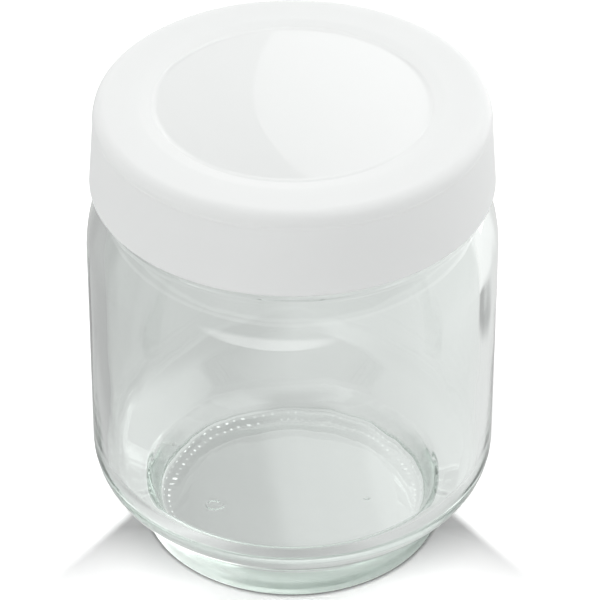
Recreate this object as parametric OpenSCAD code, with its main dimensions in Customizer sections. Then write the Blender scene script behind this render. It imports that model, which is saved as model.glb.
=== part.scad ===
// Glass jar with a push-on lid, one of the set that stands in a yogurt maker.
// Millimetres, +Z up, with the origin in the middle of the foot, on the table.

/* [Jar body] */
// Outside diameter of the straight wall
body_d = 68; // [64:0.5:80]
// Height of the glass from the table to the rim
jar_h = 81.4; // [70:0.1:110]
// Thickness of the glass in the straight wall
wall_t = 2.8; // [2:0.1:3.4]

/* [Foot and heel] */
// Height of the groove between the foot and the heel
foot_h = 6.6; // [5:0.1:7.4]
// Distance from the straight wall in to the bottom of the groove
groove_in = 7.5; // [6:0.1:9]
// Distance from the bottom of the groove in to the foot's lower edge
foot_in = 1.2; // [0.4:0.1:2.4]
// Rounding of the foot's lower edge
foot_round = 0.8; // [0.4:0.1:1.4]
// Rounding at the bottom of the groove
groove_round = 1.2; // [0.6:0.1:2]
// Height at which the heel's slope would meet the straight wall
heel_h = 12.8; // [10:0.1:15]
// Rounding between the heel's slope and the straight wall
heel_round = 8; // [4:0.5:11]

/* [Base] */
// Width of the flat ring that the jar stands on
bearing_w = 3.2; // [2:0.1:5]
// Rise of the underside inside that ring
push_up = 0.4; // [0.3:0.1:1]
// Width of the slope between that ring and the raised panel
push_up_run = 3; // [1.5:0.1:4]
// Rounding at both ends of that slope
push_up_round = 1.5; // [0.5:0.1:2]
// Thickness of the glass in the middle of the base
base_t = 3.9; // [3:0.1:5]
// Distance from the foot's lower edge in to the edge of the inside floor
foot_t = 2.9; // [2.4:0.1:4]
// Rounding at the edge of the inside floor
floor_round = 1.5; // [0.8:0.1:2.4]
// Thickness of the glass in the heel's slope
heel_t = 3.15; // [2.6:0.05:3.6]
// Rounding of the ridge that the groove makes on the inside
ridge_round = 2.5; // [1:0.1:4]
// Rounding between the inside of the heel and the inside wall
bowl_round = 7; // [4:0.5:9]

/* [Shoulder and neck] */
// Height of the shoulder's curve
shoulder_h = 12.5; // [9:0.1:16]
// Distance by which the shoulder's curve would end inside the neck
shoulder_tuck = 1; // [0.4:0.1:1.6]
// Drop of the inside of the shoulder below the outside
shoulder_drop = 1.2; // [0.6:0.1:2.4]
// Height from the top of the shoulder's curve to the rim
neck_h = 13.7; // [12:0.1:16]
// Rounding between the shoulder and the neck
neck_round = 2; // [0.5:0.1:2.5]

/* [Rim] */
// Inside diameter of the mouth
mouth_d = 53; // [46:0.1:56]
// Width of the glass at the rim
rim_w = 3.8; // [3.3:0.1:4.6]
// Rounding of the rim's two edges
rim_round = 1.1; // [0.5:0.1:1.4]
// Height of the bead from the rim to where it runs out
bead_h = 6.4; // [5:0.1:8]
// Distance by which the bead stands out from the neck
bead_step = 1.3; // [0.8:0.1:1.6]
// Rounding of the bead's lower corners
bead_round = 0.6; // [0.3:0.1:0.8]

/* [Lid] */
// Height of the lid from its lower edge to its top
lid_h = 15.1; // [13.5:0.1:16]
// Thickness of the raised ring over the glass rim
ring_t = 1.5; // [1:0.1:2.4]
// Thickness of the lid's panel and of the skirt's lower edge
lid_t = 1.3; // [0.9:0.1:1.6]
// Thickness of the skirt where it grips the bead
grip_t = 1.55; // [1.2:0.05:2]
// Height of the grip from the rim down
grip_h = 5; // [4:0.1:6]
// Distance by which the skirt widens from its top to its lower edge
skirt_flare = 1.1; // [0.6:0.1:1.6]
// Rounding of the lid's upper outer edge
lid_round = 2; // [1:0.1:2.4]
// Rounding of the skirt's lower outer edge
edge_round = 0.7; // [0.3:0.1:0.8]
// Depth of the recess in the lid's top
recess_depth = 0.3; // [0.2:0.1:0.7]
// Width of the slope round that recess
recess_run = 3; // [1.4:0.1:4]
// Rounding at both ends of that slope
recess_round = 6; // [1:0.5:8]
// Depth to which the plug reaches into the mouth, from the rim down
plug_h = 4; // [3:0.1:6]
// Rounding of the lid's inside corners and of the plug's end
inside_round = 0.4; // [0.2:0.05:0.5]

/* [Fit] */
// Gap between the lid and the glass, on the bead and in the mouth
seal_gap = 0.3; // [0.25:0.05:0.4]

/* [Hidden] */

glass_colour = [0.78, 0.84, 0.81, 0.45];
plastic_colour = [0.95, 0.95, 0.94];

// Steps along each rounding and along each long curve
round_steps = 6;
curve_steps = 12;
// Steps round the axis
turn_steps = 180;

// Radii of the glass, from its foot to its mouth
body_r = body_d / 2;
inner_r = body_r - wall_t;
groove_r = body_r - groove_in;
foot_r = groove_r - foot_in;
bearing_r = foot_r - foot_round - bearing_w;
panel_r = bearing_r - push_up_run;
mouth_r = mouth_d / 2;
bead_r = mouth_r + rim_w;
neck_r = bead_r - bead_step;

// The inside of the heel follows its outside slope, and its lower end is a ridge opposite the groove
heel_slope = atan2(heel_h - foot_h, groove_in);
ridge_r = groove_r - heel_t * sin(heel_slope);
ridge_z = foot_h + heel_t * cos(heel_slope);
bowl_z = ridge_z + (inner_r - ridge_r) * tan(heel_slope);

// Heights of the glass
floor_z = push_up + base_t;
shoulder_z = jar_h - neck_h - shoulder_h;
bead_z = jar_h - bead_h;

// The shoulder's curve is followed up to this angle, and from there a straight line runs to the neck
shoulder_turn = 65;

// Radii of the lid, each set by the glass that it closes
grip_r = bead_r + seal_gap;
plug_r = mouth_r - seal_gap;
recess_r = plug_r - lid_t;
skirt_top_r = grip_r + grip_t;
skirt_r = skirt_top_r + skirt_flare;

// Heights of the lid
lid_top_z = jar_h + ring_t;
lid_bottom_z = lid_top_z - lid_h;
panel_z = lid_top_z - recess_depth;
grip_z = jar_h - grip_h;
plug_z = jar_h - plug_h;

// Radius of the skirt's outside at a height
function skirt_r_at(z) = skirt_r - skirt_flare * (z - lid_bottom_z) / lid_h;

function unit(v) = v / norm(v);
function flat(p) = [p[0], p[1]];
function reversed(list) = [for (i = [len(list) - 1:-1:0]) list[i]];

// Points of the arc that rounds the corner b between a and c
function rounding(a, b, c, r) =
    let (
        to_a = unit(a - b),
        to_c = unit(c - b),
        half = acos(to_a * to_c) / 2,
        centre = b + unit(to_a + to_c) * r / sin(half),
        from = b + to_a * r / tan(half) - centre,
        start = atan2(from[1], from[0]),
        turn = sign(cross(b - a, c - b)) * (180 - 2 * half)
    )
    [for (i = [0:round_steps])
        let (angle = start + turn * i / round_steps)
        centre + r * [cos(angle), sin(angle)]];

// Outline through corners that are each given as [radius, height, rounding]
function outline(corners) =
    let (last = len(corners) - 1)
    [for (i = [0:last])
        let (p = corners[i])
        for (q = p[2] == 0 || i == 0 || i == last
                ? [flat(p)]
                : rounding(flat(corners[i - 1]), flat(p), flat(corners[i + 1]), p[2]))
            q];

// Corners along the part of an ellipse between two angles
function curve(centre, half_w, half_h, start, end) =
    [for (i = [0:curve_steps])
        let (angle = start + (end - start) * i / curve_steps)
        [centre[0] + half_w * cos(angle), centre[1] + half_h * sin(angle), 0]];

// Corners of a shoulder from the wall at wall_r up to the neck at end_r, and up that neck's edge
function shoulder(wall_r, end_r, z) =
    let (
        half_w = wall_r - end_r + shoulder_tuck,
        path = curve([wall_r - half_w, z], half_w, shoulder_h, 0, shoulder_turn),
        tip = path[curve_steps],
        rise = (tip[0] - end_r) * shoulder_h / half_w / tan(shoulder_turn)
    )
    concat(path, [[end_r, tip[1] + rise, neck_round]]);

// Section of the glass, from the middle of the underside out, up to the rim, and back down its inside
jar_section = concat(
    [
        [0, push_up, 0],
        [panel_r, push_up, push_up_round],
        [bearing_r, 0, push_up_round],
        [foot_r, 0, foot_round],
        [groove_r, foot_h, groove_round],
        [body_r, heel_h, heel_round]
    ],
    shoulder(body_r, neck_r, shoulder_z),
    [
        [neck_r, bead_z, bead_round],
        [bead_r, bead_z + bead_step, bead_round],
        [bead_r, jar_h, rim_round],
        [mouth_r, jar_h, rim_round]
    ],
    reversed(shoulder(inner_r, mouth_r, shoulder_z - shoulder_drop)),
    [
        [inner_r, bowl_z, bowl_round],
        [ridge_r, ridge_z, ridge_round],
        [foot_r - foot_t, floor_z, floor_round],
        [0, floor_z, 0]
    ]
);

// Section of the lid, from the middle of its top out, down the skirt, and back along its inside
lid_section = [
    [0, panel_z, 0],
    [recess_r - recess_run, panel_z, recess_round],
    [recess_r, lid_top_z, recess_round],
    [skirt_top_r, lid_top_z, lid_round],
    [skirt_r, lid_bottom_z, edge_round],
    [skirt_r - lid_t, lid_bottom_z, 0],
    [skirt_r_at(grip_z) - lid_t, grip_z - inside_round, inside_round],
    [grip_r, grip_z, inside_round],
    [grip_r, jar_h, inside_round],
    [plug_r, jar_h, inside_round],
    [plug_r, plug_z, inside_round],
    [plug_r - lid_t, plug_z, inside_round],
    [plug_r - lid_t, panel_z - lid_t, inside_round],
    [0, panel_z - lid_t, 0]
];

// Solid that an outline sweeps round the axis
module turned(corners) {
    rotate_extrude($fn = turn_steps) polygon(outline(corners));
}

// Thick glass jar: a foot under a rounded heel, a straight wall, a shoulder and a beaded rim
module jar() {
    color(glass_colour)
    turned(jar_section);
}

// Moulded lid: a skirt round the bead, a raised ring over the rim, a plug in the mouth and a sunk panel
module lid() {
    color(plastic_colour)
    turned(lid_section);
}

jar();
lid();
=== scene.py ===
"""Looks of a yogurt maker's glass jar and its push-on lid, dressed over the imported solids.

Sizes in the classes are millimetres, as on a drawing. Meshes, lamps and the camera are in metres, in the
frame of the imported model: +Z up the axis of the jar, with the origin in the middle of its foot.
"""

import logging
import math
from dataclasses import dataclass
from enum import Enum
from typing import Any, Iterable, Mapping, Sequence

import bpy
from bpy.types import ID, Light, Material, Mesh, Node, NodeSocket, NodeTree, Object, World
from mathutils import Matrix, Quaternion, Vector


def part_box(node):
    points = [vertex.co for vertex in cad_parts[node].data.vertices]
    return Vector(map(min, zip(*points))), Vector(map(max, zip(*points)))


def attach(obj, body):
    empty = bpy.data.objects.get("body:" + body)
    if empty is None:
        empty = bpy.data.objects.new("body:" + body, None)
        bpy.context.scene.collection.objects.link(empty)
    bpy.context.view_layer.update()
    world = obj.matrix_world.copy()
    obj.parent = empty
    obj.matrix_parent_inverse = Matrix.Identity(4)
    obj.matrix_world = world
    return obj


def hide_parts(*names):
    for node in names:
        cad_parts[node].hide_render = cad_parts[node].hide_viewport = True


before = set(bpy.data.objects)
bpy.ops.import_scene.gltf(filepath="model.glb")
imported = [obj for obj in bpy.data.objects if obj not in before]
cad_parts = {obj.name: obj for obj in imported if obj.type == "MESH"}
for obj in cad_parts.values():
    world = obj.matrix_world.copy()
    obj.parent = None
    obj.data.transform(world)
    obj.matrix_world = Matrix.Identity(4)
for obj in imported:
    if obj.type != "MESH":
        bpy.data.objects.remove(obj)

LOG = logging.getLogger("yogurt_jar")
MM = 0.001
# Degrees from point to point along a rounding, and the least number of such steps
ARC_STEP = 9
ARC_LEAST = 4
# Way from the end of a straight run to its first ring, and the length below which two points are one
LEAD = 0.12
CLOSE = 0.01
# Blender's names for the kinds of node that recur
MATH = "ShaderNodeMath"
VECTOR = "ShaderNodeVectorMath"
RANGE = "ShaderNodeMapRange"
MIX = "ShaderNodeMix"
Point = tuple[float, float]
Stops = tuple[Point, ...]
Socket = NodeSocket


def linear(colour: str) -> tuple[float, float, float, float]:
    """Turns an sRGB hex value into the linear colour that shaders take.

    Args:
        colour: The colour as #RRGGBB.

    Returns:
        Red, green, blue and an alpha of 1.
    """
    channels = []
    for start in (1, 3, 5):
        value = int(colour[start:start + 2], 16) / 255
        channels.append(value / 12.92 if value <= 0.04045 else ((value + 0.055) / 1.055) ** 2.4)
    return (channels[0], channels[1], channels[2], 1.0)


def add_node(
    tree: NodeTree, kind: str, inputs: Mapping[int | str, Any] | None = None, **settings: Any
) -> Node:
    """Adds a node with its settings, the constants on its inputs and the links that feed them.

    Args:
        tree: The node tree that takes the node.
        kind: Blender's name for the kind of node.
        inputs: For an input, by index or name, a constant, a socket, or a node with its first output.
        **settings: The node's own properties, by name.

    Returns:
        The new node.
    """
    node = tree.nodes.new(kind)
    for name, value in settings.items():
        setattr(node, name, value)
    for key, value in (inputs or {}).items():
        if isinstance(value, Node):
            value = value.outputs[0]
        if isinstance(value, Socket):
            tree.links.new(value, node.inputs[key])
        else:
            node.inputs[key].default_value = value
    return node


@dataclass(frozen=True)
class Fade:
    """Change of a share between two places.

    Attributes:
        start: Place at which the change starts.
        end: Place at which it ends.
        first: Share before it.
        last: Share after it.
        curve: Blender's name for the way between them.
    """

    start: float
    end: float
    first: float = 0.0
    last: float = 1.0
    curve: str = "SMOOTHSTEP"

    def inputs(self, source: Socket | Node, unit: float = 1.0) -> dict[str, Any]:
        """Gives what add_node takes for the change along a source, whose places are in a unit."""
        values = {0: source, 1: self.start * unit, 2: self.end * unit, 3: self.first, 4: self.last}
        return {"inputs": values, "interpolation_type": self.curve}


def dimmed(tree: NodeTree, level: Socket, fades: Iterable[tuple[Socket, Fade]]) -> Socket:
    """Multiplies a level by shares that change from place to place.

    Args:
        tree: The node tree.
        level: The level to start from.
        fades: The place that each share follows, and its change.

    Returns:
        The product.
    """
    for source, fade in fades:
        share = add_node(tree, RANGE, **fade.inputs(source))
        level = add_node(tree, MATH, {0: level, 1: share}, operation="MULTIPLY").outputs[0]
    return level


def from_axis(tree: NodeTree, place: Socket) -> Socket:
    """Measures how far each place is from the axis of the jar."""
    plan = add_node(tree, VECTOR, {0: place, 1: (1.0, 1.0, 0.0)}, operation="MULTIPLY")
    return add_node(tree, VECTOR, {0: plan}, operation="LENGTH").outputs["Value"]


def empty_tree(owner: Material | Light | World) -> NodeTree:
    """Empties the node tree of a material, a lamp or the world.

    Args:
        owner: What the tree belongs to.

    Returns:
        The tree, without any nodes.
    """
    owner.use_nodes = True
    owner.node_tree.nodes.clear()
    return owner.node_tree


def add_object(name: str, data: ID) -> Object:
    """Puts an object in the scene.

    Args:
        name: Name of the object.
        data: Its mesh, lamp or camera.

    Returns:
        The object, at the origin.
    """
    holder = bpy.data.objects.new(name, data)
    bpy.context.scene.collection.objects.link(holder)
    return holder


@dataclass(frozen=True)
class Corner:
    """One corner of a turned outline.

    Attributes:
        r: Radius.
        z: Height.
        rounding: Radius of the arc that rounds the corner.
        spacing: Longest distance between rings on the straight run after the corner, or 0 in a curve.
    """

    r: float
    z: float
    rounding: float = 0.0
    spacing: float = 6.0


def arc(a: Corner, b: Corner, c: Corner) -> list[Point]:
    """Finds the points of the arc that rounds a corner.

    Args:
        a: The corner before.
        b: The corner that is rounded.
        c: The corner after.

    Returns:
        Points from the run that ends at b to the run that starts there.
    """
    here = Vector((b.r, b.z))
    back = (Vector((a.r, a.z)) - here).normalized()
    ahead = (Vector((c.r, c.z)) - here).normalized()
    half = math.acos(max(-1.0, min(1.0, back.dot(ahead)))) / 2
    centre = here + (back + ahead).normalized() * (b.rounding / math.sin(half))
    first = here + back * (b.rounding / math.tan(half)) - centre
    turn = math.pi - 2 * half
    if (-back).cross(ahead) < 0:
        turn = -turn
    steps = max(ARC_LEAST, round(abs(math.degrees(turn)) / ARC_STEP))
    start = math.atan2(first.y, first.x)
    points = []
    for i in range(steps + 1):
        angle = start + turn * i / steps
        points.append((centre.x + b.rounding * math.cos(angle), centre.y + b.rounding * math.sin(angle)))
    return points


def outline(corners: Sequence[Corner]) -> list[Point]:
    """Rounds the corners of a section and divides its straight runs.

    A run that is divided also gets a ring close to both its ends, so that smooth shading stays flat there.

    Args:
        corners: The corners from one end of the section to the other.

    Returns:
        The section's points, radius and height.
    """
    runs: list[list[Point]] = []
    for i, corner in enumerate(corners):
        inner = 0 < i < len(corners) - 1
        if inner and corner.rounding > 0:
            runs.append(arc(corners[i - 1], corner, corners[i + 1]))
        else:
            runs.append([(corner.r, corner.z)])
    points = list(runs[0])
    for corner, run in zip(corners, runs[1:]):
        start = Vector(points[-1])
        end = Vector(run[0])
        length = (end - start).length
        if corner.spacing > 0 and length > 4 * LEAD:
            steps = math.ceil((length - 2 * LEAD) / corner.spacing)
            for i in range(steps + 1):
                share = (LEAD + (length - 2 * LEAD) * i / steps) / length
                points.append(tuple(start.lerp(end, share)))
        if length < CLOSE:
            run = run[1:]
        points.extend(run)
    return points


def new_tree(name: str, sockets: Iterable[tuple[str, str]]) -> tuple[NodeTree, Node]:
    """Starts a geometry tree with named inputs.

    Args:
        name: Name of the tree.
        sockets: Name and socket type of each input after the geometry.

    Returns:
        The tree and its input node.
    """
    tree = bpy.data.node_groups.new(name, "GeometryNodeTree")
    tree.interface.new_socket("Geometry", in_out="INPUT", socket_type="NodeSocketGeometry")
    for label, kind in sockets:
        tree.interface.new_socket(label, in_out="INPUT", socket_type=kind)
    tree.interface.new_socket("Geometry", in_out="OUTPUT", socket_type="NodeSocketGeometry")
    return tree, tree.nodes.new("NodeGroupInput")


def grow(piece: Object, tree: NodeTree, sizes: Mapping[str, Any]) -> None:
    """Runs a geometry tree on a piece and keeps the result as a plain mesh.

    Args:
        piece: The object that carries the source geometry.
        tree: The tree to run.
        sizes: Values of the tree's named inputs.
    """
    modifier = piece.modifiers.new(tree.name, "NODES")
    modifier.node_group = tree
    for item in tree.interface.items_tree:
        if item.in_out == "INPUT" and item.name in sizes:
            modifier[item.identifier] = sizes[item.name]
    graph = bpy.context.evaluated_depsgraph_get()
    mesh = bpy.data.meshes.new_from_object(piece.evaluated_get(graph), depsgraph=graph)
    piece.modifiers.remove(modifier)
    old = piece.data
    piece.data = mesh
    bpy.data.meshes.remove(old)
    mesh.name = piece.name


class TurnedTree:
    """Geometry tree that turns a section round the axis of the jar, with closed poles and seam.

    Attributes:
        SEAM: Distance below which the points of the seam and the poles are joined, in metres.
    """

    SEAM = 1e-6

    def __init__(self) -> None:
        """Builds the tree once, for every turned piece."""
        self.tree, self.entry = new_tree(
            "turned_body",
            [("Rings", "NodeSocketInt"), ("Steps", "NodeSocketInt"), ("Finish", "NodeSocketMaterial")],
        )
        self._wire()

    def _wire(self) -> None:
        """Lays a grid of rings and steps and wraps it round the axis."""
        tree = self.tree
        entry = self.entry.outputs
        columns = add_node(tree, MATH, {0: entry["Steps"], 1: 1.0}, operation="ADD")
        grid = add_node(tree, "GeometryNodeMeshGrid", {"Vertices X": entry["Rings"], "Vertices Y": columns})
        index = add_node(tree, "GeometryNodeInputIndex")
        share = add_node(tree, MATH, {0: index, 1: columns}, operation="DIVIDE")
        ring = add_node(tree, MATH, {0: share}, operation="FLOOR")
        step = add_node(tree, MATH, {0: index, 1: columns}, operation="MODULO")
        part = add_node(tree, MATH, {0: step, 1: entry["Steps"]}, operation="DIVIDE")
        angle = add_node(tree, MATH, {0: part, 1: 2 * math.pi}, operation="MULTIPLY")
        place = add_node(tree, "GeometryNodeInputPosition")
        corner = add_node(tree, "GeometryNodeSampleIndex",
                          {"Geometry": entry["Geometry"], "Value": place, "Index": ring},
                          data_type="FLOAT_VECTOR")
        turned = add_node(tree, "ShaderNodeVectorRotate", {"Vector": corner, "Angle": angle},
                          rotation_type="Z_AXIS")
        wrapped = add_node(tree, "GeometryNodeSetPosition",
                           {"Geometry": grid.outputs["Mesh"], "Position": turned})
        side = add_node(tree, "GeometryNodeInputNamedAttribute", {"Name": "inside"}, data_type="FLOAT")
        taken = add_node(tree, "GeometryNodeSampleIndex",
                         {"Geometry": entry["Geometry"], "Value": side, "Index": ring}, data_type="FLOAT")
        marked = add_node(tree, "GeometryNodeStoreNamedAttribute",
                          {"Name": "inside", "Geometry": wrapped, "Value": taken}, data_type="FLOAT",
                          domain="POINT")
        closed = add_node(tree, "GeometryNodeMergeByDistance", {"Distance": self.SEAM, "Geometry": marked})
        smooth = add_node(tree, "GeometryNodeSetShadeSmooth", {"Geometry": closed})
        real = add_node(tree, "GeometryNodeRealizeInstances", {"Geometry": smooth})
        dressed = add_node(tree, "GeometryNodeSetMaterial", {"Geometry": real, "Material": entry["Finish"]})
        add_node(tree, "NodeGroupOutput", {0: dressed})

    def turn(
        self,
        name: str,
        section: Sequence[Point],
        inside: Sequence[float],
        steps: int,
        finish: Material,
    ) -> Object:
        """Turns a section into a closed body.

        Args:
            name: Name of the piece.
            section: Points of the section, radius and height, in millimetres.
            inside: For each point, how far it belongs to the inside wall, from 0 to 1.
            steps: Number of steps round the axis.
            finish: Material of the piece.

        Returns:
            The new object, at the origin.
        """
        mesh = bpy.data.meshes.new(name + "_section")
        mesh.from_pydata([(r * MM, 0.0, z * MM) for r, z in section], [], [])
        flags = mesh.attributes.new("inside", "FLOAT", "POINT")
        flags.data.foreach_set("value", list(inside))
        piece = add_object(name, mesh)
        grow(piece, self.tree, {"Rings": len(section), "Steps": steps, "Finish": finish})
        if signed_volume(piece.data) < 0:
            piece.data.flip_normals()
        return piece


def signed_volume(mesh: Mesh) -> float:
    """Measures the volume that a closed mesh holds.

    Args:
        mesh: The closed mesh.

    Returns:
        Cubic metres, below 0 where its faces point inwards.
    """
    mesh.calc_loop_triangles()
    total = 0.0
    for triangle in mesh.loop_triangles:
        a, b, c = (mesh.vertices[i].co for i in triangle.vertices)
        total += a.dot(b.cross(c)) / 6
    return total


class PressedTree:
    """Geometry tree for what the mould leaves in pressed glass.

    It cuts the knurls of the ring that the jar stands on, raises two small mould marks under the base, and
    makes the inside wall slightly uneven, as glass is where only air has shaped it.

    Attributes:
        UNDERSIDE: Height, in metres, below which a point belongs to the underside.
        FRONT_RUN: Way, in metres, over which the knurls run out towards the smooth front.
        NUMBERS: Names of the inputs that are numbers.
        PLACES: Names of the inputs that are places.
    """

    UNDERSIDE = 2 * MM
    FRONT_RUN = 8 * MM
    NUMBERS = ("Knurls", "Knurl depth", "Inner row", "Outer row", "Row width", "Smooth front", "Mark height",
               "Mark line", "Left radius", "Right radius", "Wave height", "Wave width", "Wave stretch",
               "Seed")
    PLACES = ("Left mark", "Right mark")

    def __init__(self) -> None:
        """Builds the tree."""
        sockets = [(name, "NodeSocketFloat") for name in self.NUMBERS]
        sockets += [(name, "NodeSocketVector") for name in self.PLACES]
        self.tree, self.entry = new_tree("pressed_glass", sockets + [("Finish", "NodeSocketMaterial")])
        self._wire()

    def _line(self, way: Socket, radius: Socket, width: Socket) -> Socket:
        """Makes a share that is 1 on a round line and falls to 0 on both its sides.

        Args:
            way: Each point's way from the middle of the circle.
            radius: Radius of the line.
            width: Way from the line to where the share is 0.

        Returns:
            The share at each point.
        """
        off = add_node(self.tree, MATH, {0: way, 1: radius}, operation="SUBTRACT")
        size = add_node(self.tree, MATH, {0: off}, operation="ABSOLUTE")
        return add_node(self.tree, RANGE, {0: size, 1: 0.0, 2: width, 3: 1.0, 4: 0.0},
                        interpolation_type="SMOOTHSTEP").outputs[0]

    def _knurls(self, place: Socket, x: Socket, y: Socket) -> Socket:
        """Makes the rise between the knurls of the standing ring.

        Args:
            place: Each point's place.
            x: Its X.
            y: Its Y.

        Returns:
            The rise of each point.
        """
        tree = self.tree
        entry = self.entry.outputs
        radius = from_axis(tree, place)
        angle = add_node(tree, MATH, {0: y, 1: x}, operation="ARCTAN2")
        phase = add_node(tree, MATH, {0: angle, 1: entry["Knurls"]}, operation="MULTIPLY")
        wave = add_node(tree, MATH, {0: phase}, operation="COSINE")
        valley = add_node(tree, RANGE, {0: wave, 1: -1.0, 2: 1.0, 3: 1.0, 4: 0.0})
        inner = self._line(radius, entry["Inner row"], entry["Row width"])
        outer = self._line(radius, entry["Outer row"], entry["Row width"])
        ring = add_node(tree, MATH, {0: inner, 1: outer}, operation="MAXIMUM")
        start = add_node(tree, MATH, {0: y, 1: entry["Smooth front"]}, operation="SUBTRACT")
        kept = add_node(tree, RANGE, **Fade(0.0, self.FRONT_RUN).inputs(start))
        band = add_node(tree, MATH, {0: ring, 1: kept}, operation="MULTIPLY")
        cut = add_node(tree, MATH, {0: band, 1: valley}, operation="MULTIPLY")
        return add_node(tree, MATH, {0: cut, 1: entry["Knurl depth"]}, operation="MULTIPLY").outputs[0]

    def _marks(self, x: Socket, y: Socket) -> Socket:
        """Makes the drop of the two round mould marks under the base.

        Args:
            x: Each point's X.
            y: Its Y.

        Returns:
            The drop of each point.
        """
        tree = self.tree
        entry = self.entry.outputs
        plan = add_node(tree, "ShaderNodeCombineXYZ", {0: x, 1: y})
        marks = []
        for side in ("Left", "Right"):
            reach = add_node(tree, VECTOR, {0: plan, 1: entry[side + " mark"]}, operation="DISTANCE")
            marks.append(self._line(reach.outputs["Value"], entry[side + " radius"], entry["Mark line"]))
        both = add_node(tree, MATH, {0: marks[0], 1: marks[1]}, operation="ADD")
        return add_node(tree, MATH, {0: both, 1: entry["Mark height"]}, operation="MULTIPLY").outputs[0]

    def _waves(self, place: Socket) -> Socket:
        """Makes the offset of the uneven inside wall along its normal.

        Args:
            place: Each point's place.

        Returns:
            The offset of each point.
        """
        tree = self.tree
        entry = self.entry.outputs
        pitch = add_node(tree, "ShaderNodeCombineXYZ",
                         {0: entry["Wave width"], 1: entry["Wave width"], 2: entry["Wave stretch"]})
        scaled = add_node(tree, VECTOR, {0: place, 1: pitch}, operation="DIVIDE")
        noise = add_node(tree, "ShaderNodeTexNoise",
                         {"Scale": 1.0, "Detail": 1.5, "Roughness": 0.45, "Vector": scaled,
                          "W": entry["Seed"]}, noise_dimensions="4D")
        swing = add_node(tree, RANGE, {0: noise, 3: -1.0, 4: 1.0}, clamp=False)
        side = add_node(tree, "GeometryNodeInputNamedAttribute", {"Name": "inside"}, data_type="FLOAT")
        kept = add_node(tree, MATH, {0: swing, 1: side}, operation="MULTIPLY")
        height = add_node(tree, MATH, {0: kept, 1: entry["Wave height"]}, operation="MULTIPLY")
        normal = add_node(tree, "GeometryNodeInputNormal")
        return add_node(tree, VECTOR, {0: normal, "Scale": height}, operation="SCALE").outputs[0]

    def _wire(self) -> None:
        """Joins the knurls, the marks and the waves."""
        tree = self.tree
        entry = self.entry.outputs
        place = add_node(tree, "GeometryNodeInputPosition").outputs[0]
        parts = add_node(tree, "ShaderNodeSeparateXYZ", {0: place}).outputs
        under = add_node(tree, MATH, {0: parts["Z"], 1: self.UNDERSIDE}, operation="LESS_THAN")
        rise = self._knurls(place, parts["X"], parts["Y"])
        drop = self._marks(parts["X"], parts["Y"])
        lift = add_node(tree, MATH, {0: rise, 1: drop}, operation="SUBTRACT")
        offset = add_node(tree, "ShaderNodeCombineXYZ", {2: lift})
        based = add_node(tree, "GeometryNodeSetPosition",
                         {"Geometry": entry["Geometry"], "Selection": under, "Offset": offset})
        waved = add_node(tree, "GeometryNodeSetPosition", {"Geometry": based, "Offset": self._waves(place)})
        real = add_node(tree, "GeometryNodeRealizeInstances", {"Geometry": waved})
        dressed = add_node(tree, "GeometryNodeSetMaterial", {"Geometry": real, "Material": entry["Finish"]})
        add_node(tree, "NodeGroupOutput", {0: dressed})


@dataclass(frozen=True)
class SodaLimeGlass:
    """Clear soda-lime glass, pressed in a mould and fire polished.

    The eye sees sharp highlights, a faint ripple in what lies behind it, and a green tint that grows with
    the depth of the glass, so the base and the edges look greener than the wall.

    Attributes:
        tint: Colour of the surface.
        absorption: Colour that deep glass takes.
        density: How fast it takes it, per metre.
        ior: Index of refraction.
        ripple: Width of the ripple, in millimetres.
        ripple_height: Its height, in millimetres.
        base_ripple: Share of that height up the base, where the glass cooled last.
        haze: Roughness that the ripple leaves.
        worn: Roughness up the rubbed outside of the foot.
        worn_from: Way from the axis at which that outside starts.
    """

    tint: str = "#FDFFFE"
    absorption: str = "#CBF6DE"
    density: float = 6.5
    ior: float = 1.52
    ripple: float = 6.0
    ripple_height: float = 0.012
    base_ripple: Fade = Fade(5.0, 8.0, 3.5, 1.0)
    haze: Fade = Fade(0.45, 0.75, 0.0, 0.03, "LINEAR")
    worn: Fade = Fade(4.6, 6.0, 0.25, 0.0, "LINEAR")
    worn_from: Fade = Fade(24.7, 24.9, 0.0, 1.0, "LINEAR")

    def material(self) -> Material:
        """Makes the material.

        Returns:
            The material, with its nodes.
        """
        material = bpy.data.materials.new("soda_lime_glass_pressed")
        tree = empty_tree(material)
        place = add_node(tree, "ShaderNodeTexCoord").outputs["Object"]
        height = add_node(tree, "ShaderNodeSeparateXYZ", {0: place}).outputs["Z"]
        ripple = add_node(tree, "ShaderNodeTexNoise",
                          {"Scale": 1 / (self.ripple * MM), "Detail": 1.0, "Roughness": 0.4, "Vector": place},
                          noise_dimensions="3D")
        low = add_node(tree, RANGE, **self.base_ripple.inputs(height, MM))
        relief = add_node(tree, MATH, {0: ripple, 1: low}, operation="MULTIPLY")
        bump = add_node(tree, "ShaderNodeBump",
                        {"Strength": 1.0, "Distance": self.ripple_height * MM, "Height": relief})
        haze = add_node(tree, RANGE, **self.haze.inputs(ripple))
        outside = add_node(tree, RANGE, **self.worn_from.inputs(from_axis(tree, place), MM))
        below = add_node(tree, RANGE, **self.worn.inputs(height, MM))
        rough = add_node(tree, MATH, {0: outside, 1: below, 2: haze}, operation="MULTIPLY_ADD")
        shader = add_node(tree, "ShaderNodeBsdfPrincipled",
                          {"Base Color": linear(self.tint), "Transmission Weight": 1.0, "IOR": self.ior,
                           "Roughness": rough, "Normal": bump})
        depth = add_node(tree, "ShaderNodeVolumeAbsorption",
                         {"Color": linear(self.absorption), "Density": self.density})
        add_node(tree, "ShaderNodeOutputMaterial", {"Surface": shader, "Volume": depth})
        return material


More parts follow.
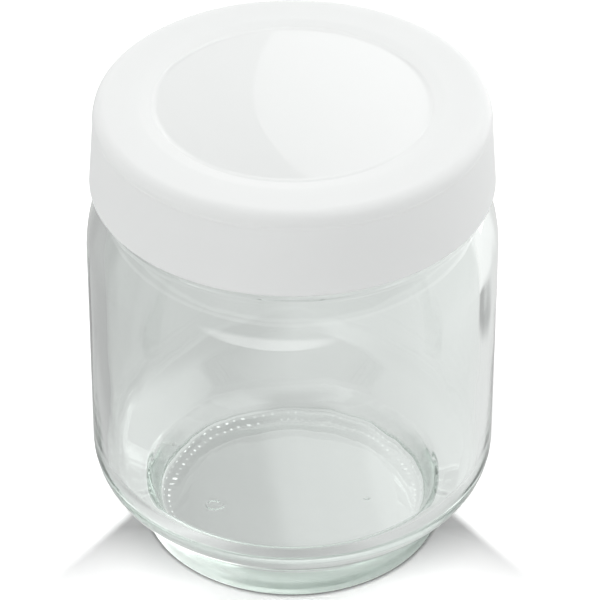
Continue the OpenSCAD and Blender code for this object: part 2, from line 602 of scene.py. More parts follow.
@dataclass(frozen=True)
class WhitePolypropylene:
    """White polypropylene, injection moulded.

    The eye sees a bright milky white. The thin panel has the mould's polish and mirrors a window, the raised
    ring and the skirt are satin, and slow waves where the wall has shrunk bend a little what shows in it.

    Attributes:
        pale: Colour of the raised ring and the skirt.
        panel_shade: Colour of the thin panel, darker than the ring as painted shade for light that the thin
            plastic lets through.
        panel_edge: Change from the panel to the ring, away from the axis.
        polish: Roughness of the panel, by the slow waves.
        satin: Roughness of the ring and the skirt, by the slow waves.
        sink: Width of the slow waves, in millimetres.
        sink_depth: Their depth, in millimetres.
        grain: Width of the mould's fine grain, in millimetres.
        grain_depth: Its depth, in millimetres.
        ior: Index of refraction.
        milk: Share of the light that enters the plastic.
        milk_depth: Way that this light spreads, in metres.
    """

    pale: str = "#F2F4F3"
    panel_shade: str = "#E8EAE9"
    panel_edge: Fade = Fade(22.2, 23.3)
    polish: Fade = Fade(0.3, 0.7, 0.008, 0.015, "LINEAR")
    satin: Fade = Fade(0.3, 0.7, 0.48, 0.55, "LINEAR")
    sink: float = 16.0
    sink_depth: float = 0.003
    grain: float = 0.8
    grain_depth: float = 0.00005
    ior: float = 1.49
    milk: float = 0.4
    milk_depth: float = 0.002

    def material(self) -> Material:
        """Makes the material.

        Returns:
            The material, with its nodes.
        """
        material = bpy.data.materials.new("polypropylene_white_moulded")
        tree = empty_tree(material)
        place = add_node(tree, "ShaderNodeTexCoord").outputs["Object"]
        waves = add_node(tree, "ShaderNodeTexNoise",
                         {"Scale": 1 / (self.sink * MM), "Detail": 3.0, "Vector": place})
        fine = add_node(tree, "ShaderNodeTexNoise",
                        {"Scale": 1 / (self.grain * MM), "Detail": 2.0, "Vector": place})
        raised = add_node(tree, RANGE, **self.panel_edge.inputs(from_axis(tree, place), MM))
        # The thin panel takes a darker colour than the ring, as painted shade.
        colour = add_node(tree, MIX, {0: raised, 6: linear(self.panel_shade), 7: linear(self.pale)},
                          data_type="RGBA")
        polish = add_node(tree, RANGE, **self.polish.inputs(waves))
        satin = add_node(tree, RANGE, **self.satin.inputs(waves))
        gloss = add_node(tree, MIX, {0: raised, 2: polish, 3: satin}, data_type="FLOAT")
        slow = add_node(tree, "ShaderNodeBump",
                        {"Strength": 1.0, "Distance": self.sink_depth * MM, "Height": waves})
        bump = add_node(tree, "ShaderNodeBump",
                        {"Strength": 1.0, "Distance": self.grain_depth * MM, "Height": fine, "Normal": slow})
        shader = add_node(tree, "ShaderNodeBsdfPrincipled",
                          {"IOR": self.ior, "Subsurface Weight": self.milk,
                           "Subsurface Radius": (1.0, 1.0, 1.0), "Subsurface Scale": self.milk_depth,
                           "Base Color": colour.outputs[2], "Roughness": gloss, "Normal": bump})
        add_node(tree, "ShaderNodeOutputMaterial", {"Surface": shader})
        return material


@dataclass(frozen=True)
class PaperPlace:
    """Place on the paper, in millimetres, as sockets of its node tree.

    Attributes:
        tree: The node tree.
        point: X, Y and Z together.
        x: Place along X.
        y: Place along Y.
        away: Way from the axis.
    """

    tree: NodeTree
    point: Socket
    x: Socket
    y: Socket
    away: Socket


@dataclass(frozen=True)
class WhiteTable:
    """Matt white paper on a table, which shows as white, with a painted soft shadow towards the viewer.

    Rays that go through the glass, or that the glass and the lid mirror, see painted levels in place of the
    lit paper. The levels are chosen for the photograph's view, and they stand in for light that the glass
    gathers and for a room that isn't modelled. Most are dimmer than white, and darker on the left than on
    the right, where the window is. Places are in millimetres. Levels are listed along X, and a change goes
    along X, along Y or away from the axis.

    Attributes:
        colour: Colour of the paper.
        lifted: Painted light: share by which the colour is lifted to white where the camera sees it, more
            beside
        the foot, where the glass gathers light.
        touched: Painted shade: share of the colour that is left in the line of contact.
        shaded: Painted shadow: share of the colour that is left in it, along Y.
        wedge: Change from the painted shadow to the open paper beside it.
        wedge_slant: Share of Y that is added to the way across for it.
        open_back: Change from the painted shadow to the open paper behind, along Y.
        lean: Painted shade: share of the colour that is left on the right, along X.
        rim: Bent level right behind the foot, where light that is caught in the base comes out.
        behind: Bent level a little farther behind.
        to_behind: Change to it.
        front: Bent level in front of the foot.
        to_front: Change to it, along Y.
        under: Bent level under the base.
        under_slant: Share of Y that is added to X for it.
        to_under: Change to it.
        beyond: Bent level farther away.
        to_beyond: Change to it.
        points: Level that a painted bright point adds.
        knurls: Number of bright points in a row.
        rows: Radii of the rows.
        point_width: Change from a row's middle to its edge.
        point_length: Change along a row, by the cosine from point to point.
        point_back: Change along Y from the front, which has none.
        patches: Width of the patches in which the points are brighter.
        patchy: Share that the points have in them.
        near: Mirrored level beside the foot.
        mirrored: Mirrored level farther away.
        to_mirrored: Change to it.
        card: Middle of a small painted dark spot on the right.
        painted_spot_share: Share of the painted levels that is left on it.
    """

    colour: str = "#F4F4F4"
    lifted: Fade = Fade(22.0, 46.0, 2.56, 1.60)
    touched: Fade = Fade(24.9, 25.9, 0.2, 1.0, "LINEAR")
    shaded: Fade = Fade(-22.6, -7.0, 1.0, 0.40, "LINEAR")
    wedge: Fade = Fade(24.0, 26.8)
    wedge_slant: float = 0.72
    open_back: Fade = Fade(4.0, 14.0)
    lean: Fade = Fade(15.0, 35.0, 1.0, 0.91)
    rim: Stops = ((-24, 0.75), (-8, 0.71), (-3, 0.61), (4, 0.61), (10, 0.69), (24, 0.72))
    behind: Stops = ((-40, 0.64), (-31, 0.76), (-24, 0.70), (-12, 0.62), (0, 0.70), (15, 0.69), (30, 0.78),
                     (40, 0.86))
    to_behind: Fade = Fade(29.5, 32.5)
    front: Stops = ((-40, 0.53), (-31, 0.78), (-24, 0.88), (-18, 0.71), (-10, 0.53), (0, 0.48), (10, 0.53),
                    (20, 0.67), (40, 0.71))
    to_front: Fade = Fade(-8.0, -2.0, 1.0, 0.0)
    under: Stops = ((-20, 0.51), (-9, 0.525), (-6, 0.54), (0, 0.64), (4, 0.66), (12, 0.68), (16, 0.75),
                    (20, 0.78))
    under_slant: float = 0.12
    to_under: Fade = Fade(23.2, 24.8, 1.0, 0.0)
    beyond: Stops = ((-130, 0.49), (-90, 0.44), (-60, 0.43), (-50, 0.52), (-46, 0.57), (-42, 0.575),
                     (-37, 0.61), (-30, 0.62), (-12, 0.61), (-8, 0.615), (1, 0.74), (20, 0.72), (30, 0.77),
                     (45, 0.80), (62, 0.78), (75, 0.78), (96, 1.0), (125, 1.0))
    to_beyond: Fade = Fade(38.0, 52.0)
    points: Stops = ((-24, 1.0), (-12, 0.75), (-4, 0.2), (8, 0.1), (24, 0.25))
    knurls: int = 90
    rows: Point = (21.5, 23.4)
    point_width: Fade = Fade(0.1, 0.4, 1.0, 0.0)
    point_length: Fade = Fade(0.2, 0.9)
    point_back: Fade = Fade(-14.0, -9.0)
    patches: float = 3.0
    patchy: Fade = Fade(0.38, 0.62, 0.1, 1.15)
    near: Stops = ((-26, 2.3), (-18, 2.5), (-12, 2.4), (-8, 0.85), (-2, 0.36), (12, 0.25), (24, 0.2))
    mirrored: Stops = ((-60, 0.60), (60, 0.75))
    to_mirrored: Fade = Fade(28.0, 29.0)
    card: tuple[float, float, float] = (74.0, 44.0, 0.0)
    painted_spot_share: Fade = Fade(4.0, 14.0, 0.45, 1.0)

    def _along(self, tree: NodeTree, source: Socket, stops: Stops) -> Socket:
        """Lets a level change along the table.

        Args:
            tree: The material's node tree.
            source: Place along the table.
            stops: Places, each with its level.

        Returns:
            The level.
        """
        first = stops[0][0]
        length = stops[-1][0] - first
        share = add_node(tree, RANGE, {0: source, 1: first, 2: first + length})
        ramp = add_node(tree, "ShaderNodeValToRGB", {0: share})
        ramp.color_ramp.interpolation = "EASE"
        elements = ramp.color_ramp.elements
        for place, _ in stops[1:-1]:
            elements.new((place - first) / length)
        for element, (_, level) in zip(elements, stops):
            element.color = (level, level, level, 1.0)
        return ramp.outputs["Color"]

    def _over(
        self, tree: NodeTree, level: Socket, layers: Iterable[tuple[Socket, Fade, Socket]]
    ) -> Socket:
        """Lays levels over each other.

        Args:
            tree: The material's node tree.
            level: The first level.
            layers: For each later one, the place that its change follows, that change, and the level.

        Returns:
            The level in all.
        """
        for source, fade, upper in layers:
            share = add_node(tree, RANGE, **fade.inputs(source))
            level = add_node(tree, MIX, {0: share, 2: level, 3: upper}, data_type="FLOAT").outputs[0]
        return level

    def _points(self, at: PaperPlace) -> Socket:
        """Paints the bright points that stand in for the light that the knurls gather on the paper.

        Args:
            at: The place on the paper.

        Returns:
            The level to add.
        """
        tree = at.tree
        angle = add_node(tree, MATH, {0: at.y, 1: at.x}, operation="ARCTAN2")
        turns = add_node(tree, MATH, {0: angle, 1: float(self.knurls)}, operation="MULTIPLY")
        wave = add_node(tree, MATH, {0: turns}, operation="COSINE")
        gaps = []
        for row in self.rows:
            off = add_node(tree, MATH, {0: at.away, 1: row}, operation="SUBTRACT")
            gaps.append(add_node(tree, MATH, {0: off}, operation="ABSOLUTE"))
        gap = add_node(tree, MATH, {0: gaps[0], 1: gaps[1]}, operation="MINIMUM")
        cloud = add_node(tree, "ShaderNodeTexNoise",
                         {"Scale": 1 / self.patches, "Detail": 1.0, "Vector": at.point})
        return dimmed(tree, self._along(tree, at.x, self.points), (
            (wave.outputs[0], self.point_length),
            (gap.outputs[0], self.point_width),
            (at.y, self.point_back),
            (cloud.outputs[0], self.patchy),
            (at.away, self.to_under),
        ))

    def _bent(self, at: PaperPlace) -> Socket:
        """Paints the level that the glass bends to the eye.

        Args:
            at: The place on the paper.

        Returns:
            The level.
        """
        tree = at.tree
        slanted = add_node(tree, MATH, {0: at.y, 1: self.under_slant, 2: at.x}, operation="MULTIPLY_ADD")
        level = self._over(tree, self._along(tree, at.x, self.rim), (
            (at.away, self.to_behind, self._along(tree, at.x, self.behind)),
            (at.y, self.to_front, self._along(tree, at.x, self.front)),
            (at.away, self.to_under, self._along(tree, slanted.outputs[0], self.under)),
            (at.away, self.to_beyond, self._along(tree, at.x, self.beyond)),
        ))
        return add_node(tree, MATH, {0: level, 1: self._points(at)}, operation="ADD").outputs[0]

    def _mirrored(self, at: PaperPlace) -> Socket:
        """Paints the level that the glass and the lid mirror, from a place on the paper."""
        return self._over(at.tree, self._along(at.tree, at.x, self.near),
                          [(at.away, self.to_mirrored, self._along(at.tree, at.x, self.mirrored))])

    def _seen(self, at: PaperPlace) -> Socket:
        """Makes the painted light and painted shadow that lift or shade the paper's colour where the camera
        sees it.

        Args:
            at: The place on the paper.

        Returns:
            The share.
        """
        tree = at.tree
        across = add_node(tree, MATH, {0: at.x}, operation="ABSOLUTE")
        edge = add_node(tree, MATH, {0: at.y, 1: self.wedge_slant, 2: across}, operation="MULTIPLY_ADD")
        beside = add_node(tree, RANGE, **self.wedge.inputs(edge))
        back = add_node(tree, RANGE, **self.open_back.inputs(at.y))
        lit = add_node(tree, MATH, {0: beside, 1: back}, operation="MAXIMUM")
        shadow = add_node(tree, RANGE, **self.shaded.inputs(at.y))
        share = add_node(tree, MIX, {0: lit, 2: shadow, 3: 1.0}, data_type="FLOAT")
        return dimmed(tree, share.outputs[0],
                      ((at.away, self.lifted), (at.away, self.touched), (at.x, self.lean)))

    def material(self) -> Material:
        """Makes the material.

        Returns:
            The material, with its nodes.
        """
        material = bpy.data.materials.new("white_paper_table")
        tree = empty_tree(material)
        path = add_node(tree, "ShaderNodeLightPath").outputs
        metres = add_node(tree, "ShaderNodeTexCoord").outputs["Object"]
        point = add_node(tree, VECTOR, {0: metres, "Scale": 1 / MM}, operation="SCALE").outputs[0]
        parts = add_node(tree, "ShaderNodeSeparateXYZ", {0: point}).outputs
        at = PaperPlace(tree, point, parts["X"], parts["Y"], from_axis(tree, point))
        # Rays that the glass bends or mirrors see painted levels, not the lit paper.
        level = add_node(tree, MIX,
                         {0: path["Is Transmission Ray"], 2: self._mirrored(at), 3: self._bent(at)},
                         data_type="FLOAT")
        # A painted dark spot on the right dims those levels.
        reach = add_node(tree, VECTOR, {0: point, 1: self.card}, operation="DISTANCE")
        strength = dimmed(tree, level.outputs[0], [(reach.outputs["Value"], self.painted_spot_share)])
        # Where the camera sees the paper, painted light and painted shadow scale its colour.
        key = add_node(tree, MIX, {0: path["Is Camera Ray"], 2: 1.0, 3: self._seen(at)}, data_type="FLOAT")
        shown = add_node(tree, VECTOR, {0: linear(self.colour)[:3], "Scale": key}, operation="SCALE")
        paper = add_node(tree, "ShaderNodeBsdfDiffuse", {"Color": shown})
        # The painted levels make the paper glow where the glass bends or mirrors it.
        light = add_node(tree, "ShaderNodeEmission", {"Color": linear("#FFFFFF"), "Strength": strength})
        through = add_node(tree, MATH, {0: path["Is Glossy Ray"], 1: path["Is Transmission Ray"]},
                           operation="MAXIMUM")
        both = add_node(tree, "ShaderNodeMixShader", {0: through, 1: paper, 2: light})
        add_node(tree, "ShaderNodeOutputMaterial", {"Surface": both})
        material.cycles.emission_sampling = "NONE"
        return material


@dataclass
class GlassJar:
    """One piece of pressed glass: foot, heel, straight wall, shoulder, neck and beaded rim.

    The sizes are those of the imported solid, and body_d and jar_h come from its box. The seam, the knurls, the
    marks and the waves are finer than that solid.

    Attributes:
        seam_turn: Degrees up the shoulder to the round seam that the neck's mould ring leaves.
        knurl_rows: Two rows of knurls, from the inside of the standing ring out.
        smooth_front: Place along Y before which the ring has no knurls.
        mark_rings: Radii between which the underside has fine rings, for the two mould marks.
        wave_ends: Way from the rim and from the ridge to where the inside wall starts to wave.
    """

    body_d: float
    jar_h: float
    wall_t: float = 2.8
    foot_h: float = 6.6
    groove_in: float = 7.5
    foot_in: float = 1.2
    foot_round: float = 0.8
    groove_round: float = 1.2
    heel_h: float = 12.8
    heel_round: float = 8.0
    bearing_w: float = 3.2
    push_up: float = 0.4
    push_up_run: float = 3.0
    push_up_round: float = 1.5
    base_t: float = 3.9
    foot_t: float = 2.9
    floor_round: float = 1.5
    heel_t: float = 3.15
    ridge_round: float = 2.5
    bowl_round: float = 7.0
    shoulder_h: float = 12.5
    shoulder_tuck: float = 1.0
    shoulder_drop: float = 1.2
    shoulder_turn: float = 65.0
    shoulder_steps: int = 20
    seam_turn: float = 56.5
    seam_half: float = 3.0
    seam_out: float = 0.13
    seam_steps: int = 3
    neck_h: float = 13.7
    neck_round: float = 2.0
    mouth_d: float = 53.0
    rim_w: float = 3.8
    rim_round: float = 1.1
    bead_h: float = 6.4
    bead_step: float = 1.3
    bead_round: float = 0.6
    knurls: int = 90
    knurl_depth: float = 0.06
    knurl_rows: Point = (0.1, 2.3)
    knurl_half: float = 0.6
    smooth_front: float = -15.0
    mark_rings: Point = (9.5, 17.5)
    mark_h: float = 0.3
    mark_line: float = 0.5
    left_mark: Point = (-13.2, -2.4)
    left_mark_r: float = 1.3
    right_mark: Point = (12.6, -0.8)
    right_mark_r: float = 0.1
    wave_h: float = 0.2
    wave_w: float = 11.0
    wave_l: float = 34.0
    wave_seed: float = 3.0
    wave_ends: Point = (4.0, 3.0)
    wave_fade: float = 12.0
    turn_steps: int = 360

    @property
    def body_r(self) -> float:
        """Outside radius of the straight wall."""
        return self.body_d / 2

    @property
    def foot_r(self) -> float:
        """Outside radius of the foot at the table."""
        return self.body_r - self.groove_in - self.foot_in

    @property
    def bearing_r(self) -> float:
        """Inside radius of the ring that the jar stands on."""
        return self.foot_r - self.foot_round - self.bearing_w

    @property
    def mouth_r(self) -> float:
        """Inside radius of the mouth."""
        return self.mouth_d / 2

    @property
    def bead_r(self) -> float:
        """Outside radius of the bead."""
        return self.mouth_r + self.rim_w

    @property
    def shoulder_z(self) -> float:
        """Height at which the shoulder starts."""
        return self.jar_h - self.neck_h - self.shoulder_h

    def _shoulder(self, wall_r: float, end_r: float, z: float, seam: float = 0.0) -> list[Corner]:
        """Follows a shoulder, which is part of an ellipse, from the wall to the neck.

        Args:
            wall_r: Radius of the wall.
            end_r: Radius of the neck.
            z: Height at which the shoulder leaves the wall.
            seam: Height of the round seam that the neck's mould ring leaves.

        Returns:
            The corners from the wall up to the neck's rounded corner.
        """
        half_w = wall_r - end_r + self.shoulder_tuck
        turns = [self.shoulder_turn * i / self.shoulder_steps for i in range(self.shoulder_steps + 1)]
        if seam > 0:
            turns = [turn for turn in turns if abs(turn - self.seam_turn) > self.seam_half]
            steps = self.seam_steps
            turns += [self.seam_turn + self.seam_half * i / steps for i in range(-steps, steps + 1)]
        path = []
        for turn in sorted(turns):
            angle = math.radians(turn)
            out = Vector((math.cos(angle) / half_w, math.sin(angle) / self.shoulder_h)).normalized()
            off = min(1.0, abs(turn - self.seam_turn) / self.seam_half)
            rise = out * seam * math.cos(off * math.pi / 2) ** 2
            path.append(Corner(wall_r - half_w + half_w * math.cos(angle) + rise.x,
                               z + self.shoulder_h * math.sin(angle) + rise.y, 0.0, 0.0))
        tip = path[-1]
        rise = (tip.r - end_r) * self.shoulder_h / half_w / math.tan(math.radians(self.shoulder_turn))
        return path + [Corner(end_r, tip.z + rise, self.neck_round)]

    def section(self) -> tuple[list[Point], list[float]]:
        """Draws the section of the glass.

        Returns:
            Its points from the middle of the underside out, up and back down the inside, and for each point
            how far it belongs to the inside wall, from 0 to 1.
        """
        groove_r = self.body_r - self.groove_in
        inner_r = self.body_r - self.wall_t
        neck_r = self.bead_r - self.bead_step
        floor_z = self.push_up + self.base_t
        slope = math.atan2(self.heel_h - self.foot_h, self.groove_in)
        ridge_r = groove_r - self.heel_t * math.sin(slope)
        ridge_z = self.foot_h + self.heel_t * math.cos(slope)
        bead_z = self.jar_h - self.bead_h
        outside = [
            Corner(0, self.push_up, 0, 1.2),
            Corner(self.mark_rings[0], self.push_up, 0, 0.4),
            Corner(self.mark_rings[1], self.push_up, 0, 0.8),
            Corner(self.bearing_r - self.push_up_run, self.push_up, self.push_up_round, 0.5),
            Corner(self.bearing_r, 0, self.push_up_round, 0.25),
            Corner(self.foot_r, 0, self.foot_round, 2.0),
            Corner(groove_r, self.foot_h, self.groove_round),
            Corner(self.body_r, self.heel_h, self.heel_round, 12.0),
            *self._shoulder(self.body_r, neck_r, self.shoulder_z, self.seam_out),
            Corner(neck_r, bead_z, self.bead_round),
            Corner(self.bead_r, bead_z + self.bead_step, self.bead_round),
            Corner(self.bead_r, self.jar_h, self.rim_round, 1.0),
            Corner(self.mouth_r, self.jar_h, self.rim_round, 3.0),
        ]
        inner_z = self.shoulder_z - self.shoulder_drop
        inside = [
            *reversed(self._shoulder(inner_r, self.mouth_r, inner_z)[1:]),
            Corner(inner_r, inner_z, 0, 2.0),
            Corner(inner_r, ridge_z + (inner_r - ridge_r) * math.tan(slope), self.bowl_round, 1.0),
            Corner(ridge_r, ridge_z, self.ridge_round, 1.0),
            Corner(self.foot_r - self.foot_t, floor_z, self.floor_round, 1.6),
            Corner(0, floor_z),
        ]
        points = outline(outside + inside)
        flags = []
        past_rim = False
        for r, z in points:
            past_rim = past_rim or (z > self.jar_h - CLOSE and r < self.bead_r - self.rim_w / 2)
            depth = min(self.jar_h - self.wave_ends[0] - z, z - ridge_z - self.wave_ends[1])
            share = min(1.0, max(0.0, depth / self.wave_fade)) if past_rim else 0.0
            flags.append(share * share * (3 - 2 * share))
        return points, flags

    def build(self, lathe: TurnedTree, finish: Material) -> Object:
        """Turns the glass, presses its base and hangs it on the jar's body.

        Args:
            lathe: The tree that turns sections.
            finish: The glass.

        Returns:
            The finished piece.
        """
        points, flags = self.section()
        piece = lathe.turn("jar_glass", points, flags, self.turn_steps, finish)
        grow(piece, PressedTree().tree, {
            "Knurls": float(self.knurls),
            "Knurl depth": self.knurl_depth * MM,
            "Inner row": (self.bearing_r + self.knurl_rows[0]) * MM,
            "Outer row": (self.bearing_r + self.knurl_rows[1]) * MM,
            "Row width": self.knurl_half * MM,
            "Smooth front": self.smooth_front * MM,
            "Mark height": self.mark_h * MM,
            "Mark line": self.mark_line * MM,
            "Left mark": (self.left_mark[0] * MM, self.left_mark[1] * MM, 0.0),
            "Left radius": self.left_mark_r * MM,
            "Right mark": (self.right_mark[0] * MM, self.right_mark[1] * MM, 0.0),
            "Right radius": self.right_mark_r * MM,
            "Wave height": self.wave_h * MM,
            "Wave width": self.wave_w * MM,
            "Wave stretch": self.wave_l * MM,
            "Seed": self.wave_seed,
            "Finish": finish,
        })
        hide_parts("jar")
        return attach(piece, "jar")


@dataclass
class PushOnLid:
    """One moulding: a flared skirt, a raised ring over the rim, a sunk panel and a plug ring below it.

    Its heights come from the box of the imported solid, and its radii from the glass that it closes.
    """

    glass: GlassJar
    top_z: float
    bottom_z: float
    lid_t: float = 1.3
    grip_t: float = 1.55
    grip_h: float = 5.0
    skirt_flare: float = 1.1
    lid_round: float = 2.0
    edge_round: float = 0.7
    recess_depth: float = 0.3
    recess_run: float = 3.0
    recess_round: float = 6.0
    plug_h: float = 4.0
    inside_round: float = 0.4
    seal_gap: float = 0.3
    lip_round: float = 0.3
    line_drop: float = 2.2
    line_out: float = 0.07
    line_round: float = 0.04
    line_profile: Stops = ((0.0, 0.0), (0.15, 1.0), (0.45, 1.0), (0.6, 0.0))
    turn_steps: int = 360

    def _mould_line(self, skirt_top_r: float) -> list[Corner]:
        """Draws the fine line that the joint between the mould's halves leaves under the upper edge.

        Args:
            skirt_top_r: Radius at which the skirt would meet the lid's top.

        Returns:
            The corners of the line, from its upper side to its lower side.
        """
        corners = []
        for drop, share in self.line_profile:
            below = self.line_drop + drop
            r = skirt_top_r + self.skirt_flare * below / (self.top_z - self.bottom_z)
            corners.append(Corner(r + self.line_out * share, self.top_z - below, self.line_round))
        return corners

    def section(self) -> list[Point]:
        """Draws the section of the lid.

        Returns:
            Its points from the middle of its top out, down and back along its inside.
        """
        jar = self.glass
        grip_r = jar.bead_r + self.seal_gap
        plug_r = jar.mouth_r - self.seal_gap
        recess_r = plug_r - self.lid_t
        skirt_top_r = grip_r + self.grip_t
        skirt_r = skirt_top_r + self.skirt_flare
        panel_z = self.top_z - self.recess_depth
        grip_z = jar.jar_h - self.grip_h
        share = (grip_z - self.bottom_z) / (self.top_z - self.bottom_z)
        grip_outside = skirt_r - self.skirt_flare * share
        small = self.inside_round
        return outline([
            Corner(0, panel_z, 0, 1.5),
            Corner(recess_r - self.recess_run, panel_z, self.recess_round),
            Corner(recess_r, self.top_z, self.recess_round, 1.2),
            Corner(skirt_top_r, self.top_z, self.lid_round, 2.5),
            *self._mould_line(skirt_top_r),
            Corner(skirt_r, self.bottom_z, self.edge_round),
            Corner(skirt_r - self.lid_t, self.bottom_z, self.lip_round),
            Corner(grip_outside - self.lid_t, grip_z - small, small),
            Corner(grip_r, grip_z, small),
            Corner(grip_r, jar.jar_h, small),
            Corner(plug_r, jar.jar_h, small),
            Corner(plug_r, jar.jar_h - self.plug_h, small),
            Corner(plug_r - self.lid_t, jar.jar_h - self.plug_h, small),
            Corner(plug_r - self.lid_t, panel_z - self.lid_t, small, 2.0),
            Corner(0, panel_z - self.lid_t),
        ])

    def build(self, lathe: TurnedTree, finish: Material) -> Object:
        """Turns the lid and hangs it on the lid's body.

        Args:
            lathe: The tree that turns sections.
            finish: The plastic.

        Returns:
            The finished piece.
        """
        points = self.section()
        piece = lathe.turn("lid_moulding", points, [0.0] * len(points), self.turn_steps, finish)
        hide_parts("lid")
        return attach(piece, "lid")


@dataclass(frozen=True)
class LampPlan:
    """Where a soft lamp stands and how bright its face is.

    Attributes:
        azimuth: Degrees from straight behind the jar towards its right.
        elevation: Degrees above the table.
        distance: Metres from the jar.
        width: Metres across.
        height: Metres up.
        level: Brightness of its face, where 1 is white.
        across: Share of that level at its left and right ends, seen from the jar.
        upward: Share of that level at its lower and upper edges.
        roll: Degrees by which its right end is lower than its left end, seen from the jar.
        shape: Blender's name for the shape of its face.
        edge: Share of the level by the way from its middle, where its edge is at 0.5.
    """

    azimuth: float
    elevation: float
    distance: float
    width: float
    height: float
    level: float
    across: Point = (1.0, 1.0)
    upward: Point = (1.0, 1.0)
    roll: float = 0.0
    shape: str = "RECTANGLE"
    edge: Fade = Fade(1.0, 1.1, 1.0, 0.0)


class Lamp(Enum):
    """The soft lamps of the studio."""

    WINDOW = LampPlan(10.2, 38.2, 0.327, 0.111, 0.066, 0.85, across=(0.5, 2.5), roll=10.0, shape="ELLIPSE")
    GLOW = LampPlan(0.0, 38.5, 0.330, 0.140, 0.050, 1.1, upward=(1.0, 0.0))
    SLOPE = LampPlan(4.0, 46.5, 0.330, 0.26, 0.036, 1.5)
    SIDE = LampPlan(45.0, 3.0, 0.36, 0.20, 0.12, 1.7)
    FRONT = LampPlan(191.0, -10.0, 0.165, 0.25, 0.040, 2.2, across=(0.9, 1.35), shape="ELLIPSE",
                     edge=Fade(0.22, 0.501, 1.0, 0.0))


class RoomShade(Enum):
    """How the light of the room changes towards a direction, by the cosine of the angle to it."""

    UP = ((0.0, 0.0, 1.0), Fade(0.0, 0.8, 1.12, 1.25))
    LEFT = ((1.0, 0.0, 0.0), Fade(-1.0, -0.3, 0.38, 1.0))
    RIGHT = ((1.0, 0.0, 0.0), Fade(0.5, 1.0, 1.0, 1.5))
    NEAR_CORNER = ((0.64, -0.77, 0.0), Fade(0.2, 0.95, 1.0, 0.15))
    FAR_CORNER = ((-0.324, 0.694, 0.643), Fade(0.93, 0.99, 1.0, 0.55))
    FRONT_CARD = ((0.04, -0.75, 0.66), Fade(0.88, 0.96, 1.0, 0.35))


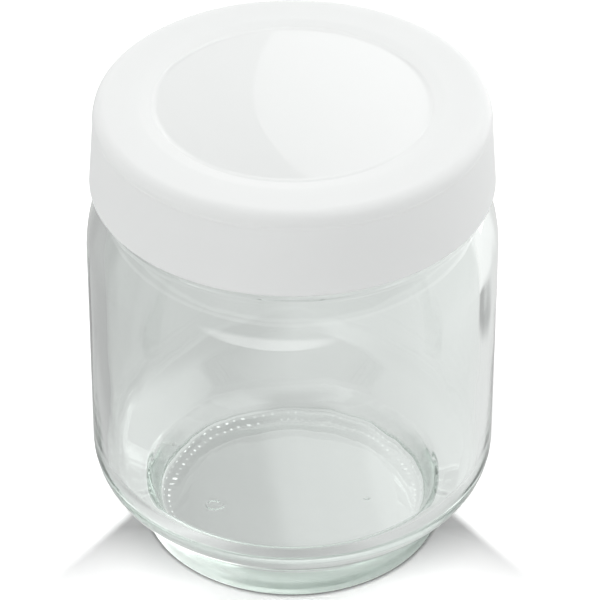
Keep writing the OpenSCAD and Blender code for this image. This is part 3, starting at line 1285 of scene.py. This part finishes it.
@dataclass
class Studio:
    """Plain table, soft lamps and the camera at the photograph's viewing angle, in metres and degrees.

    Attributes:
        lens: Focal length, in millimetres.
        sensor: Width of the camera's sensor, in millimetres.
        table_gap: Gap between the table and the foot, so that they do not share a face.
        horizon: Light that a low strip all round adds, by its height.
        bounces: Number of light bounces, enough for thick glass.
    """

    elevation: float = 36.44
    distance: float = 0.6686
    aim_z: float = 0.040
    lens: float = 239.5
    sensor: float = 36.0
    shift_x: float = 0.0125
    shift_y: float = 0.0258
    table_size: float = 4.0
    table_gap: float = 0.00003
    clip: float = 0.01
    horizon: Fade = Fade(0.02, 0.06, 1.0, 0.0)
    bounces: int = 24

    def table(self, finish: Material) -> None:
        """Lays the table under the jar.

        Args:
            finish: The paper on it.
        """
        half = self.table_size / 2
        mesh = bpy.data.meshes.new("table_top")
        z = -self.table_gap
        mesh.from_pydata([(-half, -half, z), (half, -half, z), (half, half, z), (-half, half, z)], [],
                         [(0, 1, 2, 3)])
        mesh.materials.append(finish)
        piece = add_object("table_top", mesh)

    def _soften(self, light: Light, plan: LampPlan) -> None:
        """Lets the level of a lamp's face change from end to end and fade towards its edge.

        Args:
            light: The lamp.
            plan: Its plan.
        """
        tree = empty_tree(light)
        face = add_node(tree, "ShaderNodeNewGeometry").outputs["Parametric"]
        parts = add_node(tree, "ShaderNodeSeparateXYZ", {0: face}).outputs
        out = add_node(tree, VECTOR, {0: face, 1: (0.5, 0.5, 0.0)}, operation="DISTANCE")
        across = add_node(tree, RANGE, {0: parts["X"], 3: plan.across[1], 4: plan.across[0]})
        share = dimmed(tree, across.outputs[0], (
            (parts["Y"], Fade(0.0, 1.0, plan.upward[0], plan.upward[1], "LINEAR")),
            (out.outputs["Value"], plan.edge),
        ))
        glow = add_node(tree, "ShaderNodeEmission", {"Color": linear("#FFFFFF"), "Strength": share})
        add_node(tree, "ShaderNodeOutputLight", {"Surface": glow})

    def lamps(self) -> None:
        """Hangs each soft lamp and turns it to the jar."""
        for lamp in Lamp:
            plan = lamp.value
            light = bpy.data.lights.new(lamp.name.lower(), "AREA")
            light.shape = plan.shape
            light.size = plan.width
            light.size_y = plan.height
            light.energy = plan.level * math.pi * plan.width * plan.height
            if plan.across != plan.upward:
                self._soften(light, plan)
            holder = add_object(light.name, light)
            azimuth = math.radians(plan.azimuth)
            elevation = math.radians(plan.elevation)
            away = Vector((math.sin(azimuth) * math.cos(elevation), math.cos(azimuth) * math.cos(elevation),
                           math.sin(elevation)))
            holder.location = Vector((0, 0, self.aim_z)) + away * plan.distance
            turn = away.to_track_quat("Z", "Y") @ Quaternion((0, 0, 1), math.radians(plan.roll))
            holder.rotation_euler = turn.to_euler()
            holder.visible_camera = False
            holder.visible_diffuse = False
            holder.visible_transmission = lamp is Lamp.SIDE

    def room(self) -> None:
        """Fills the room with pale light, which the glass alone sees dimmed by a card in front."""
        world = bpy.data.worlds.new("pale_room")
        bpy.context.scene.world = world
        tree = empty_tree(world)
        way = add_node(tree, "ShaderNodeTexCoord").outputs["Generated"]
        bent = add_node(tree, "ShaderNodeLightPath").outputs["Is Transmission Ray"]
        shares = []
        for shade in RoomShade:
            direction, fade = shade.value
            cosine = add_node(tree, VECTOR, {0: way, 1: direction}, operation="DOT_PRODUCT")
            share = add_node(tree, RANGE, **fade.inputs(cosine.outputs["Value"]))
            if shade is RoomShade.FRONT_CARD:
                share = add_node(tree, MIX, {0: bent, 2: 1.0, 3: share}, data_type="FLOAT")
            shares.append(share.outputs[0])
        level = shares[0]
        for share in shares[1:]:
            level = add_node(tree, MATH, {0: level, 1: share}, operation="MULTIPLY").outputs[0]
        up = add_node(tree, "ShaderNodeSeparateXYZ", {0: way}).outputs["Z"]
        height = add_node(tree, MATH, {0: up}, operation="ABSOLUTE")
        strip = add_node(tree, RANGE, **self.horizon.inputs(height))
        total = add_node(tree, MATH, {0: level, 1: strip}, operation="ADD")
        light = add_node(tree, "ShaderNodeBackground", {"Color": linear("#FFFFFF"), "Strength": total})
        add_node(tree, "ShaderNodeOutputWorld", {"Surface": light})

    def camera(self) -> None:
        """Sets the camera on the photograph's viewing angle."""
        data = bpy.data.cameras.new("camera")
        data.lens = self.lens
        data.sensor_width = self.sensor
        data.shift_x = self.shift_x
        data.shift_y = self.shift_y
        data.clip_start = self.clip
        holder = add_object("camera", data)
        tilt = math.radians(self.elevation)
        back = Vector((0, -math.cos(tilt), math.sin(tilt)))
        holder.location = Vector((0, 0, self.aim_z)) + back * self.distance
        holder.rotation_euler = (-back).to_track_quat("-Z", "Y").to_euler()
        bpy.context.scene.camera = holder

    def build(self) -> None:
        """Sets up the whole studio."""
        scene = bpy.context.scene
        scene.view_settings.view_transform = "Standard"
        scene.cycles.max_bounces = self.bounces
        scene.cycles.glossy_bounces = self.bounces
        scene.cycles.transmission_bounces = self.bounces
        self.camera()
        self.table(WhiteTable().material())
        self.lamps()
        self.room()


def report(piece: Object) -> None:
    """Logs a finished piece and its number of triangles."""
    piece.data.calc_loop_triangles()
    LOG.info("%s: %d triangles", piece.name, len(piece.data.loop_triangles))


def main() -> None:
    """Builds the studio, the glass and the lid in order."""
    logging.basicConfig(level=logging.INFO, format="%(name)s: %(message)s")
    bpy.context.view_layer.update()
    Studio().build()
    lathe = TurnedTree()
    jar_low, jar_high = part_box("jar")
    lid_low, lid_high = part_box("lid")
    jar = GlassJar(body_d=round((jar_high.x - jar_low.x) / MM, 3), jar_h=round(jar_high.z / MM, 3))
    report(jar.build(lathe, SodaLimeGlass().material()))
    lid = PushOnLid(jar, top_z=round(lid_high.z / MM, 3), bottom_z=round(lid_low.z / MM, 3))
    report(lid.build(lathe, WhitePolypropylene().material()))


if __name__ == "__main__":
    main()
